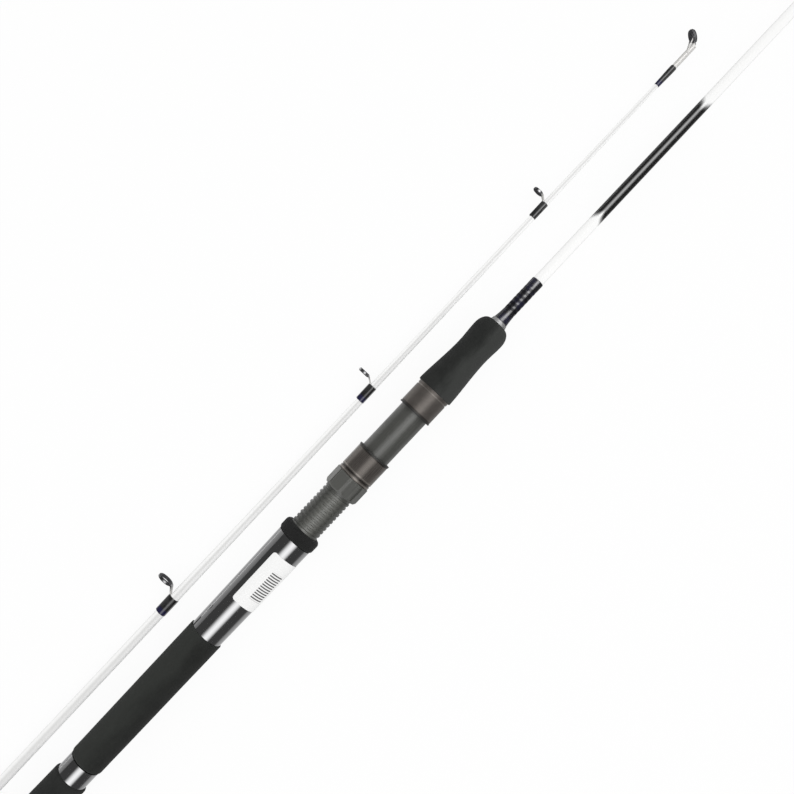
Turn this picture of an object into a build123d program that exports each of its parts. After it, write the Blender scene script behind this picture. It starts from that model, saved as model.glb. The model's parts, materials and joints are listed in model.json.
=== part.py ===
from build123d import *
from collections import namedtuple
from math import cos, radians, sin
import os

# A two-piece spinning rod, unplugged, with its two sections lying side by side.
# Sizes are in millimetres. +X runs along the rod towards the tip, +Z is up, and the tip section
# lies on the +Y side. The origin is on the butt section's axis, midway between the mouths of the
# two hoods that clamp a reel's foot.

# Clearances
GLUE_GAP = 0.04
SLIDE_GAP = 0.12
THREAD_GAP = 0.06
NUT_HOOD_GAP = 0.2
FERRULE_GAP = 0.05

# Butt blank
BLANK_BUTT_R = 4.5
BLANK_TOP_R = 3.3
BLANK_WALL = 1.3
BARE_BLANK_LENGTH = 441.0
SPIGOT_R = 3.1
SPIGOT_LENGTH = 62.0
SPIGOT_LEAD = 0.6

# Reel seat barrel
FOOT_SPAN = 36.5
BARREL_R = 10.25
BARREL_BORE_R = 7.6
THREAD_R = 10.2
THREAD_SHOWN = 33.0
THREAD_SPARE = 1.0
TAIL_R = 9.4
FLAT_DEPTH = 8.6
HOOD_OPENING = 30.0
HOOD_CLOSING = 3.0

# Hoods
FIXED_HOOD_LENGTH = 18.7
SLIDING_HOOD_LENGTH = 20.2
HOOD_R = 11.2
HOOD_WALL = 1.0
HOOD_CORNER_R = 2.2
POCKET_WIDTH = 13.0
POCKET_DEPTH = 14.5
POCKET_MOUTH = 5.2
POCKET_END = 2.8
LIP_LENGTH = 1.1
LIP_PROUD = 0.95
BAND_THICKNESS = 0.7
GROOVE_FROM_END = 1.9
GROOVE_WIDTH = 1.0
GROOVE_DEPTH = 0.45

# Locking nut
NUT_LENGTH = 12.6
NUT_R = 12.5
NUT_FLAT_R = 11.9
NUT_SIDES = 8
NUT_TILT = -3.0
NUT_BEVEL = 1.7
NUT_BEVEL_RISE = 0.9
RIB_GROOVE_WIDTH = 0.7
RIB_GROOVE_DEPTH = 0.3

# Collar, bright tube, grips and cap behind the seat
COLLAR_LENGTH = 9.0
COLLAR_R = 13.4
COLLAR_ROUND = 2.4
TUBE_LENGTH = 82.6
TUBE_FRONT_R = 12.5
TUBE_REAR_R = 11.5
TUBE_WALL = 1.2
BUSH_LENGTH = 12.0
BUSH_INSET = 5.0
UPPER_GRIP_LENGTH = 112.6
UPPER_GRIP_FRONT_R = 12.3
UPPER_GRIP_REAR_R = 11.75
UPPER_GRIP_ROUND = 2.6
RING_LENGTH = 12.8
RING_R = 11.0
RING_WALL = 1.2
LOWER_GRIP_LENGTH = 124.0
LOWER_GRIP_FRONT_R = 12.3
LOWER_GRIP_REAR_R = 13.8
LOWER_GRIP_ROUND = 1.6
CAP_LENGTH = 22.0
CAP_R = 15.6
CAP_FLOOR = 6.0
CAP_ROUND = 5.0

# Paper label on the tube
LABEL_FROM_COLLAR = 11.7
LABEL_LENGTH = 39.8
LABEL_PAPER = 0.2
LABEL_START_ANGLE = 68.9
LABEL_ARC = 118.0
LABEL_CORNER = 2.0

# Foregrip, winding check and handle winding
FOREGRIP_LENGTH = 59.2
FOREGRIP_REAR_R = 13.05
FOREGRIP_ROUND = 0.8
FOREGRIP_WAIST_R = 11.05
FOREGRIP_WAIST_FROM_FRONT = 20.0
FOREGRIP_BULB_R = 11.6
FOREGRIP_NOSE = 9.0
FOREGRIP_FACE_R = 6.0
CHECK_LENGTH = 2.5
CHECK_REAR_R = 5.9
CHECK_FRONT_R = 5.3
HANDLE_WRAP_LENGTH = 35.4
HANDLE_WRAP_THICKNESS = 0.45
HANDLE_WRAP_FLARE_R = 5.15
HANDLE_WRAP_FLARE_LENGTH = 9.0

# Tip section: place beside the butt section, blank and ferrule sleeve
TIP_SIDE = 30.8
TIP_END_X = 315.0
TIP_SECTION_LENGTH = 1085.0
TIP_R = 1.3
TIP_BREAK_R = 3.25
TIP_BREAK_FROM_END = 500.0
TIP_BASE_R = 4.05
TIP_BORE_R = 2.8
TIP_BORE_END_R = 1.2
SLEEVE_R = 5.2
SLEEVE_OVERLAP = 34.0
SLEEVE_TAPER = 6.0
SLEEVE_TAPER_R = 4.5
FERRULE_WRAP_LENGTH = 24.0

# Guides, counted from the tip; the two largest are set out from the section's base
GUIDE_4_FROM_BASE = 397.0
GUIDE_5_FROM_BASE = 165.0
GUIDE_4_FROM_TIP = TIP_SECTION_LENGTH - GUIDE_4_FROM_BASE
GUIDE_5_FROM_TIP = TIP_SECTION_LENGTH - GUIDE_5_FROM_BASE
GuideSize = namedtuple("GuideSize", "from_tip ring_r height wrap_length lead")
GUIDES = [
    GuideSize(from_tip=137.5, ring_r=3.7, height=8.6, wrap_length=12.6, lead=2.4),
    GuideSize(from_tip=299.7, ring_r=4.2, height=10.5, wrap_length=12.8, lead=2.7),
    GuideSize(from_tip=485.3, ring_r=5.5, height=12.3, wrap_length=13.4, lead=4.6),
    GuideSize(from_tip=GUIDE_4_FROM_TIP, ring_r=7.0, height=14.8, wrap_length=15.0, lead=5.4),
    GuideSize(from_tip=GUIDE_5_FROM_TIP, ring_r=9.0, height=17.6, wrap_length=17.0, lead=6.4),
]
FRAME_WALL = 0.4
FRAME_WIDTH = 1.3
RING_BEAD = 1.5
RING_WIDTH = 2.1
FOOT_THICKNESS = 0.6
FOOT_WIDTH = 2.2
FOOT_INSET = 1.2
LEG_THICKNESS = 1.0
LEG_BEND = 1.2
WRAP_THICKNESS = 0.28
FLOOR_GAP = 0.1

# Tip-top
TIP_TUBE_R = 1.8
TIP_TUBE_LENGTH = 23.0
TIP_TUBE_PLUG = 1.5
TIP_TUBE_SHOWN = 18.7
TIP_WRAP_LENGTH = 16.6
TIP_WRAP_THICKNESS = 0.25
TIP_RING_R = 4.6
TIP_RING_BEAD = 2.1
TIP_RING_WIDTH = 2.8
TIP_RING_LEAN = 31.0
TIP_STEM = 1.6
TIP_STEM_R = 1.1
TIP_RING_RISE = 0.8
BRACE_R = 0.4
BRACE_BACK = 7.0

# Places along the butt section
X_MOUTH = FOOT_SPAN / 2
X_FORE = X_MOUTH + FIXED_HOOD_LENGTH
X_CHECK = X_FORE + FOREGRIP_LENGTH
X_WRAP = X_CHECK + CHECK_LENGTH
X_BARE = X_WRAP + HANDLE_WRAP_LENGTH
X_SPIGOT = X_BARE + BARE_BLANK_LENGTH
X_SPIGOT_END = X_SPIGOT + SPIGOT_LENGTH
X_HOOD_REAR = -X_MOUTH - SLIDING_HOOD_LENGTH
X_NUT = X_HOOD_REAR - NUT_HOOD_GAP
X_NUT_REAR = X_NUT - NUT_LENGTH
X_THREAD_END = X_HOOD_REAR + HOOD_CLOSING + THREAD_SPARE
X_COLLAR = X_NUT_REAR - THREAD_SHOWN
X_TUBE = X_COLLAR - COLLAR_LENGTH
X_UPPER = X_TUBE - TUBE_LENGTH
X_RING = X_UPPER - UPPER_GRIP_LENGTH
X_LOWER = X_RING - RING_LENGTH
X_CAP = X_LOWER - LOWER_GRIP_LENGTH
X_BUTT = X_CAP - CAP_LENGTH
X_BLANK = X_BUTT + CAP_FLOOR
FLAT_Z = -FLAT_DEPTH
LOWEST = min(FLAT_Z - POCKET_MOUTH - HOOD_WALL - LIP_PROUD, -CAP_R)

# Places along the tip section
TIP_DROP = LOWEST + max(guide.ring_r for guide in GUIDES) + FLOOR_GAP
X_TIP_BASE = TIP_END_X - TIP_SECTION_LENGTH
X_TIP_BLANK = X_TIP_BASE + SPIGOT_LENGTH
X_TIP_BREAK = TIP_END_X - TIP_BREAK_FROM_END
X_TIP_BLANK_END = TIP_END_X - TIP_TUBE_PLUG
TIP_PLACE = Pos(0, TIP_SIDE, TIP_DROP)


# Shared forms

def blank_radius(x):
    """Outer radius of the butt blank, an even taper from the butt to the spigot."""
    share = (x - X_BLANK) / (X_SPIGOT - X_BLANK)
    return BLANK_BUTT_R + (BLANK_TOP_R - BLANK_BUTT_R) * share


def tip_radius(x):
    """Outer radius of the tip blank, a fast taper near the tip and a slow one below it."""
    if x > X_TIP_BREAK:
        share = (x - X_TIP_BREAK) / (X_TIP_BLANK_END - X_TIP_BREAK)
        return TIP_BREAK_R + (TIP_R - TIP_BREAK_R) * share
    share = (x - X_TIP_BLANK) / (X_TIP_BREAK - X_TIP_BLANK)
    return TIP_BASE_R + (TIP_BREAK_R - TIP_BASE_R) * share


def lathe(*curves):
    """Solid of revolution about X from the closed outline of (x, radius) that the curves make."""
    edges = [edge for curve in curves for edge in curve.edges()]
    return revolve(make_face(edges), Axis.X)


def turned(*corners):
    """Solid of revolution about X from (x, radius) corners."""
    return lathe(Polyline(*corners, close=True))


def seated(x_rear, x_front, *outside):
    """Turned piece that seats on the butt blank, with its outside given from rear to front."""
    rear_bore = (x_rear, blank_radius(x_rear) + GLUE_GAP)
    front_bore = (x_front, blank_radius(x_front) + GLUE_GAP)
    inside = Polyline(outside[-1] @ 1, front_bore, rear_bore, outside[0] @ 0)
    return lathe(inside, *outside)


def bush(x_rear, x_front, rear_r, front_r):
    """Plain bush between the butt blank and a bore."""
    return seated(x_rear, x_front, Line((x_rear, rear_r - GLUE_GAP), (x_front, front_r - GLUE_GAP)))


def rim(solid, x, radius):
    """Round edges of a turned solid at one place and one radius."""
    circles = solid.edges().filter_by(GeomType.CIRCLE)
    return circles.filter_by(lambda e: abs(e.center().X - x) < 1e-4 and abs(e.radius - radius) < 1e-4)


def across(sketch, x, length):
    """Prism of a cross-section, from x towards the tip."""
    return Pos(x, 0, 0) * extrude(Plane.YZ * sketch, length)


# Butt section

def make_butt_blank():
    return turned(
        (X_BLANK, blank_radius(X_BLANK)),
        (X_SPIGOT, BLANK_TOP_R),
        (X_SPIGOT, SPIGOT_R),
        (X_SPIGOT_END - SPIGOT_LEAD, SPIGOT_R),
        (X_SPIGOT_END, SPIGOT_R - SPIGOT_LEAD),
        (X_SPIGOT_END, SPIGOT_R - BLANK_WALL),
        (X_SPIGOT, SPIGOT_R - BLANK_WALL),
        (X_BLANK, BLANK_BUTT_R - BLANK_WALL),
    )


def make_butt_cap():
    socket_r = blank_radius(X_BLANK) + GLUE_GAP
    cap = turned(
        (X_BUTT, 0),
        (X_BUTT, CAP_R),
        (X_CAP, CAP_R),
        (X_CAP, socket_r),
        (X_BLANK, socket_r),
        (X_BLANK, 0),
    )
    cap = fillet(rim(cap, X_BUTT, CAP_R), CAP_ROUND)
    return fillet(rim(cap, X_CAP, CAP_R), min(CAP_R - LOWER_GRIP_REAR_R, CAP_ROUND))


def make_lower_grip():
    side = Line((X_CAP, LOWER_GRIP_REAR_R), (X_LOWER, LOWER_GRIP_FRONT_R))
    grip = seated(X_CAP, X_LOWER, side)
    return fillet(rim(grip, X_LOWER, LOWER_GRIP_FRONT_R), LOWER_GRIP_ROUND)


def make_grip_ring():
    return turned(
        (X_LOWER, RING_R - RING_WALL),
        (X_LOWER, RING_R),
        (X_RING, RING_R),
        (X_RING, RING_R - RING_WALL),
    )


def make_upper_grip():
    side = Line((X_RING, UPPER_GRIP_REAR_R), (X_UPPER, UPPER_GRIP_FRONT_R))
    grip = seated(X_RING, X_UPPER, side)
    return fillet(rim(grip, X_RING, UPPER_GRIP_REAR_R), UPPER_GRIP_ROUND)


def tube_radius(x):
    """Outer radius of the bright tube, which widens towards the seat."""
    share = (x - X_UPPER) / TUBE_LENGTH
    return TUBE_REAR_R + (TUBE_FRONT_R - TUBE_REAR_R) * share


def make_chrome_tube():
    return turned(
        (X_UPPER, TUBE_REAR_R - TUBE_WALL),
        (X_UPPER, TUBE_REAR_R),
        (X_TUBE, TUBE_FRONT_R),
        (X_TUBE, TUBE_FRONT_R - TUBE_WALL),
    )


def make_tube_bush(x_rear):
    x_front = x_rear + BUSH_LENGTH
    return bush(x_rear, x_front, tube_radius(x_rear) - TUBE_WALL, tube_radius(x_front) - TUBE_WALL)


def make_paper_label():
    x_front = X_TUBE - LABEL_FROM_COLLAR
    x_rear = x_front - LABEL_LENGTH
    rear_r = tube_radius(x_rear) + GLUE_GAP
    front_r = tube_radius(x_front) + GLUE_GAP
    strip = Polyline(
        (x_rear, rear_r),
        (x_front, front_r),
        (x_front, front_r + LABEL_PAPER),
        (x_rear, rear_r + LABEL_PAPER),
        close=True,
    )
    face = Rot(X=LABEL_START_ANGLE) * make_face(strip.edges())
    label = revolve(face, Axis.X, LABEL_ARC)
    corners = label.edges().filter_by(lambda e: abs(e.length - LABEL_PAPER) < 0.01)
    return fillet(corners, LABEL_CORNER)


def make_seat_collar():
    bore_r = TAIL_R + GLUE_GAP
    collar = turned((X_TUBE, bore_r), (X_TUBE, COLLAR_R), (X_COLLAR, COLLAR_R), (X_COLLAR, bore_r))
    return fillet(rim(collar, X_TUBE, COLLAR_R) + rim(collar, X_COLLAR, COLLAR_R), COLLAR_ROUND)


def d_section(radius, flat_z):
    """Round section with a flat on its underside."""
    below = Pos(0, flat_z) * Rectangle(2 * radius, radius, align=(Align.CENTER, Align.MAX))
    return Circle(radius) - below


def make_reel_seat_barrel():
    barrel = turned(
        (X_TUBE, BARREL_BORE_R),
        (X_TUBE, TAIL_R),
        (X_COLLAR, TAIL_R),
        (X_COLLAR, THREAD_R),
        (X_THREAD_END, THREAD_R),
        (X_THREAD_END, BARREL_R),
        (X_FORE, BARREL_R),
        (X_FORE, BARREL_BORE_R),
    )
    x_flat = X_HOOD_REAR - HOOD_OPENING - THREAD_SPARE
    trim = Circle(2 * BARREL_R) - d_section(2 * BARREL_R, FLAT_Z)
    return barrel - across(trim, x_flat, X_FORE - x_flat)


def make_seat_arbor(x_rear):
    return bush(x_rear, x_rear + BUSH_LENGTH, BARREL_BORE_R, BARREL_BORE_R)


def hood_outline(grow):
    """Section of a hood: round over the barrel, drawn down flat over the reel foot."""
    corner_y = POCKET_WIDTH / 2 + HOOD_WALL - HOOD_CORNER_R
    corner_z = FLAT_Z - POCKET_MOUTH - HOOD_WALL + HOOD_CORNER_R
    corner = Circle(HOOD_CORNER_R + grow)
    rings = [Circle(HOOD_R + grow), Pos(corner_y, corner_z) * corner, Pos(-corner_y, corner_z) * corner]
    return make_hull([edge for ring in rings for edge in ring.edges()])


def hood_shell(length, gap):
    """Moulded hood with its mouth at x = 0 and its body towards +X, bored for the barrel."""
    body = across(hood_outline(0), 0, length) + across(hood_outline(LIP_PROUD), 0, LIP_LENGTH)
    bore = across(d_section(BARREL_R + gap, FLAT_Z - gap), 0, length)
    side = Polygon(
        (0, FLAT_Z),
        (0, FLAT_Z - POCKET_MOUTH),
        (POCKET_DEPTH, FLAT_Z - POCKET_END),
        (POCKET_DEPTH, FLAT_Z),
        align=None,
    )
    pocket = extrude(Plane.XZ * side, POCKET_WIDTH / 2, both=True)
    return body - bore - pocket


def hood_band(length):
    """Metal band round a hood, with a turned groove near its closed end."""
    skin = hood_outline(BAND_THICKNESS)
    band = across(skin - hood_outline(GLUE_GAP), LIP_LENGTH, length - LIP_LENGTH)
    groove = skin - hood_outline(BAND_THICKNESS - GROOVE_DEPTH)
    return band - across(groove, length - GROOVE_FROM_END - GROOVE_WIDTH, GROOVE_WIDTH)


def at_front(piece):
    return Pos(X_MOUTH, 0, 0) * piece


def at_rear(piece):
    return Pos(-X_MOUTH, 0, 0) * mirror(piece, about=Plane.YZ)


def make_locking_nut():
    sides = RegularPolygon(NUT_FLAT_R, NUT_SIDES, major_radius=False)
    section = Circle(NUT_R) & sides
    rib_groove = Rectangle(RIB_GROOVE_WIDTH, 2 * RIB_GROOVE_DEPTH)
    for corner in sides.vertices():
        heading = Vector(corner.X, corner.Y).get_signed_angle(Vector(0, 1, 0), Vector(0, 0, 1))
        section -= Rot(Z=-heading) * Pos(0, NUT_R) * rib_groove
    prism = across(Rot(Z=NUT_TILT) * section, X_NUT_REAR, NUT_LENGTH)
    bevelled = turned(
        (X_NUT_REAR, THREAD_R + THREAD_GAP),
        (X_NUT_REAR, NUT_R - NUT_BEVEL_RISE),
        (X_NUT_REAR + NUT_BEVEL, NUT_R),
        (X_NUT, NUT_R),
        (X_NUT, THREAD_R + THREAD_GAP),
    )
    return prism & bevelled


def make_foregrip():
    x_bulb = X_CHECK - FOREGRIP_NOSE
    waist = Spline(
        (X_FORE, FOREGRIP_REAR_R),
        (X_CHECK - FOREGRIP_WAIST_FROM_FRONT, FOREGRIP_WAIST_R),
        (x_bulb, FOREGRIP_BULB_R),
        tangents=((1, -0.03), (1, 0)),
    )
    nose = EllipticalCenterArc(
        (x_bulb, FOREGRIP_FACE_R),
        FOREGRIP_NOSE,
        FOREGRIP_BULB_R - FOREGRIP_FACE_R,
        start_angle=90,
        arc_size=-90,
    )
    grip = seated(X_FORE, X_CHECK, waist, nose)
    return fillet(rim(grip, X_FORE, FOREGRIP_REAR_R), FOREGRIP_ROUND)


def make_winding_check():
    return seated(X_CHECK, X_WRAP, Line((X_CHECK, CHECK_REAR_R), (X_WRAP, CHECK_FRONT_R)))


def make_handle_wrap():
    x_flare = X_WRAP + HANDLE_WRAP_FLARE_LENGTH
    body_r = blank_radius(x_flare) + HANDLE_WRAP_THICKNESS
    end_r = blank_radius(X_BARE) + HANDLE_WRAP_THICKNESS
    flare = Spline((X_WRAP, HANDLE_WRAP_FLARE_R), (x_flare, body_r), tangents=((1, -0.2), (1, 0)))
    return seated(X_WRAP, X_BARE, flare, Line((x_flare, body_r), (X_BARE, end_r)))


# Tip section

def make_tip_blank():
    return turned(
        (X_TIP_BLANK, TIP_BASE_R),
        (X_TIP_BREAK, TIP_BREAK_R),
        (X_TIP_BLANK_END, TIP_R),
        (X_TIP_BLANK_END, 0),
        (X_TIP_BREAK, 0),
        (X_TIP_BREAK, TIP_BORE_END_R),
        (X_TIP_BLANK, TIP_BORE_R),
    )


def make_ferrule_sleeve():
    x_end = X_TIP_BLANK + SLEEVE_OVERLAP
    socket_r = SPIGOT_R + FERRULE_GAP
    return turned(
        (X_TIP_BASE, socket_r),
        (X_TIP_BASE, SLEEVE_R),
        (x_end - SLEEVE_TAPER, SLEEVE_R),
        (x_end, SLEEVE_TAPER_R),
        (x_end, tip_radius(x_end) + GLUE_GAP),
        (X_TIP_BLANK, TIP_BASE_R + GLUE_GAP),
        (X_TIP_BLANK, socket_r),
    )


def make_ferrule_wrap():
    x_end = X_TIP_BASE + FERRULE_WRAP_LENGTH
    inner_r = SLEEVE_R + GLUE_GAP
    outer_r = inner_r + WRAP_THICKNESS
    return turned((X_TIP_BASE, inner_r), (X_TIP_BASE, outer_r), (x_end, outer_r), (x_end, inner_r))


def line_ring(ring_r, width, bead):
    """Ceramic ring with a rounded bore, on the X axis at the origin."""
    seat_r = ring_r - FRAME_WALL - GLUE_GAP
    half = width / 2
    inner = ThreePointArc((half, seat_r), (0, seat_r - bead), (-half, seat_r))
    return lathe(inner, Line((-half, seat_r), (half, seat_r)))


def ring_holder(ring_r):
    """Hoop that holds a ceramic ring, on the X axis at the origin."""
    half = FRAME_WIDTH / 2
    return turned(
        (-half, ring_r - FRAME_WALL),
        (-half, ring_r),
        (half, ring_r),
        (half, ring_r - FRAME_WALL),
    )


def hole(ring_r, reach):
    """Space inside a ring holder."""
    return Rot(Y=90) * Cylinder(ring_r - FRAME_WALL, 2 * reach)


def foot_bottom(guide):
    """Distance from the tip blank's axis to the underside of a guide's foot."""
    x_rear = TIP_END_X - guide.from_tip - guide.lead - guide.wrap_length
    return tip_radius(x_rear) + GLUE_GAP


def guide_foot(guide, grow):
    """Strip on the blank's side, under the winding, with the ring plane at x = 0."""
    x_rear = -guide.lead - guide.wrap_length + FOOT_INSET - grow
    x_front = -guide.lead + FOOT_THICKNESS
    y_low = foot_bottom(guide) - grow
    strip = Box(
        x_front - x_rear,
        FOOT_THICKNESS + 2 * grow,
        FOOT_WIDTH + 2 * grow,
        align=(Align.MIN, Align.MIN, Align.CENTER),
    )
    return Pos(x_rear, y_low, 0) * strip


def make_guide_frame(guide):
    y_foot = foot_bottom(guide) + FOOT_THICKNESS / 2
    path = FilletPolyline(
        (-guide.lead + FOOT_THICKNESS / 2, y_foot),
        (0, guide.height - guide.ring_r),
        (0, guide.height),
        radius=LEG_BEND,
    )
    strap = extrude(trace(path, LEG_THICKNESS), guide.ring_r, both=True)
    ring_edge = Pos(guide.height, 0) * Circle(guide.ring_r)
    root = Pos(y_foot, 0) * Rectangle(FOOT_THICKNESS, FOOT_WIDTH)
    outline = make_hull(ring_edge.edges() + root.edges())
    leg = strap & across(outline, -guide.lead, guide.lead + FRAME_WIDTH)
    hoop = Pos(0, guide.height, 0) * ring_holder(guide.ring_r)
    opening = Pos(0, guide.height, 0) * hole(guide.ring_r, guide.lead)
    return guide_foot(guide, 0) + leg + hoop - opening


def make_guide_wrap(guide):
    x_ring = TIP_END_X - guide.from_tip
    x_front = -guide.lead
    x_rear = x_front - guide.wrap_length
    blank_r = tip_radius(x_ring + x_rear)
    cover_y = foot_bottom(guide) + FOOT_THICKNESS + WRAP_THICKNESS
    cover = Rectangle(cover_y, FOOT_WIDTH + WRAP_THICKNESS, align=(Align.MIN, Align.CENTER))
    outline = make_hull(Circle(blank_r + WRAP_THICKNESS).edges() + cover.edges())
    core = turned(
        (x_rear, 0),
        (x_rear, blank_r + GLUE_GAP),
        (x_front, tip_radius(x_ring + x_front) + GLUE_GAP),
        (x_front, 0),
    )
    slot = guide_foot(guide, GLUE_GAP / 2)
    slot += Pos(0, -FOOT_THICKNESS / 2, 0) * slot
    return across(outline, x_rear, guide.wrap_length) - core - slot


def rod_between(start, end, radius):
    """Round bar from one point to another."""
    run = Vector(*end) - Vector(*start)
    return Plane(origin=start, z_dir=run) * Cylinder(
        radius, run.length, align=(Align.CENTER, Align.CENTER, Align.MIN)
    )


def tip_ring_place():
    """Place of the tip-top's ring: it leans forward, with its lowest point ahead of the tube."""
    lean = radians(TIP_RING_LEAN)
    x = TIP_END_X + TIP_STEM + TIP_RING_R * sin(lean)
    y = TIP_RING_RISE + TIP_RING_R * cos(lean)
    return Pos(x, y, 0) * Rot(Z=-TIP_RING_LEAN)


def make_tip_top_frame():
    x_rear = TIP_END_X - TIP_TUBE_LENGTH
    tube = turned(
        (x_rear, tip_radius(x_rear) + GLUE_GAP),
        (x_rear, TIP_TUBE_R),
        (TIP_END_X, TIP_TUBE_R),
        (TIP_END_X, 0),
        (X_TIP_BLANK_END, 0),
        (X_TIP_BLANK_END, TIP_R + GLUE_GAP),
    )
    place = tip_ring_place()
    middle = place.position
    foot = (TIP_END_X + TIP_STEM, TIP_RING_RISE, 0)
    frame = tube + rod_between((X_TIP_BLANK_END, 0, 0), foot, TIP_STEM_R)
    for side in (1, -1):
        low = (TIP_END_X - BRACE_BACK, 0, side * (TIP_TUBE_R - BRACE_R / 2))
        high = (middle.X, middle.Y, side * (TIP_RING_R - FRAME_WALL / 2))
        frame += rod_between(low, high, BRACE_R)
    frame = frame + place * ring_holder(TIP_RING_R) - place * hole(TIP_RING_R, TIP_RING_WIDTH)
    core = turned(
        (x_rear, 0),
        (x_rear, tip_radius(x_rear) + GLUE_GAP),
        (X_TIP_BLANK_END, TIP_R + GLUE_GAP),
        (X_TIP_BLANK_END, 0),
    )
    return frame - core


def make_tip_top_wrap():
    x_front = TIP_END_X - TIP_TUBE_SHOWN
    x_tube = TIP_END_X - TIP_TUBE_LENGTH
    x_rear = x_front - TIP_WRAP_LENGTH
    tube_r = TIP_TUBE_R + GLUE_GAP
    rear_r = tip_radius(x_rear) + GLUE_GAP
    return turned(
        (x_front, tube_r),
        (x_front, tube_r + TIP_WRAP_THICKNESS),
        (x_tube, tube_r + TIP_WRAP_THICKNESS),
        (x_rear, rear_r + TIP_WRAP_THICKNESS),
        (x_rear, rear_r),
        (x_tube - GLUE_GAP, tip_radius(x_tube) + GLUE_GAP),
        (x_tube - GLUE_GAP, tube_r),
    )


def main():
    parts = {
        "butt_blank": make_butt_blank(),
        "butt_cap": make_butt_cap(),
        "lower_grip": make_lower_grip(),
        "grip_ring": make_grip_ring(),
        "ring_bush": bush(X_LOWER, X_RING, RING_R - RING_WALL, RING_R - RING_WALL),
        "upper_grip": make_upper_grip(),
        "chrome_tube": make_chrome_tube(),
        "tube_bush_rear": make_tube_bush(X_UPPER + BUSH_INSET),
        "tube_bush_front": make_tube_bush(X_TUBE - BUSH_INSET - BUSH_LENGTH),
        "paper_label": make_paper_label(),
        "seat_collar": make_seat_collar(),
        "reel_seat_barrel": make_reel_seat_barrel(),
        "seat_arbor_rear": make_seat_arbor(X_TUBE + BUSH_INSET),
        "seat_arbor_front": make_seat_arbor(X_FORE - BUSH_INSET - BUSH_LENGTH),
        "fixed_hood": at_front(hood_shell(FIXED_HOOD_LENGTH, GLUE_GAP)),
        "fixed_hood_band": at_front(hood_band(FIXED_HOOD_LENGTH)),
        "sliding_hood": at_rear(hood_shell(SLIDING_HOOD_LENGTH, SLIDE_GAP)),
        "sliding_hood_band": at_rear(hood_band(SLIDING_HOOD_LENGTH)),
        "locking_nut": make_locking_nut(),
        "foregrip": make_foregrip(),
        "winding_check": make_winding_check(),
        "handle_wrap": make_handle_wrap(),
    }
    tip_parts = {
        "tip_blank": make_tip_blank(),
        "ferrule_sleeve": make_ferrule_sleeve(),
        "ferrule_wrap": make_ferrule_wrap(),
        "tip_top_frame": make_tip_top_frame(),
        "tip_top_ring": tip_ring_place() * line_ring(TIP_RING_R, TIP_RING_WIDTH, TIP_RING_BEAD),
        "tip_top_wrap": make_tip_top_wrap(),
    }
    for number, guide in enumerate(GUIDES, start=1):
        place = Pos(TIP_END_X - guide.from_tip, 0, 0)
        tip_parts[f"guide_{number}_frame"] = place * make_guide_frame(guide)
        ring = line_ring(guide.ring_r, RING_WIDTH, RING_BEAD)
        tip_parts[f"guide_{number}_ring"] = place * Pos(0, guide.height, 0) * ring
        tip_parts[f"guide_{number}_wrap"] = place * make_guide_wrap(guide)
    for name, solid in tip_parts.items():
        parts[name] = TIP_PLACE * solid

    os.makedirs("parts", exist_ok=True)
    for name, solid in parts.items():
        export_step(solid, f"parts/{name}.step")


main()
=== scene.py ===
import json
import math

import bpy
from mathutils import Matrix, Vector, noise


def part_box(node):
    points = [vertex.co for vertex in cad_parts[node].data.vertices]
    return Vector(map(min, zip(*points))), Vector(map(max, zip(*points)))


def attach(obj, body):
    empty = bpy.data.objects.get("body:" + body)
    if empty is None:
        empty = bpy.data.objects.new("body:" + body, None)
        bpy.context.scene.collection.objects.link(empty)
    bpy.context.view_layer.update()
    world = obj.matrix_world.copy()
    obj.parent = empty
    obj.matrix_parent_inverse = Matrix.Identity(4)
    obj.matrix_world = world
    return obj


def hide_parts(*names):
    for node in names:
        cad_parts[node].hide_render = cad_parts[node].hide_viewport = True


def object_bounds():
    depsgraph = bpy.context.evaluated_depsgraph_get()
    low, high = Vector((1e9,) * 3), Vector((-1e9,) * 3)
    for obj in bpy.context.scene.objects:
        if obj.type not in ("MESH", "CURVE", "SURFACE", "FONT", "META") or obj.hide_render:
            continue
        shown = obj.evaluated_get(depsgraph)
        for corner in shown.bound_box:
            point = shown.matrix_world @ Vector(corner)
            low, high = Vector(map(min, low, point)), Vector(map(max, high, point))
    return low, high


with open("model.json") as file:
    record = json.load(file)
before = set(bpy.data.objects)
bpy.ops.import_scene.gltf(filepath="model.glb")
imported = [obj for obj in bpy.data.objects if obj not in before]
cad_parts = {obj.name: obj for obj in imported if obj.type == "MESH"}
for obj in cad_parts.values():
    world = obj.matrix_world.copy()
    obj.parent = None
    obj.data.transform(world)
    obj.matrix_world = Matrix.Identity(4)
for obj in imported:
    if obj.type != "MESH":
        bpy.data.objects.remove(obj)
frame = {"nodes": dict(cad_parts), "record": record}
cad_low, cad_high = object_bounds()
nodes = frame["nodes"]
MM = 0.001
FLOOR_Z = cad_low.z - 0.1 * MM
TIP_Y = sum(c.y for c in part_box("tip_blank")) / 2
TIP_Z = sum(c.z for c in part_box("tip_blank")) / 2
TIP_AXIS = TIP_Y, TIP_Z
BUTT_AXIS = 0.0, 0.0


# Material tools

NOISE_LOW, NOISE_HIGH = 0.3, 0.7
NOISE_ROUGHNESS = 0.55
STRIPE_FULL, STRIPE_GONE = 0.6, 1.4
ALONG = (0.02, 1, 1)
MIX_A, MIX_B, MIX_OUT = 6, 7, 2


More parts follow.
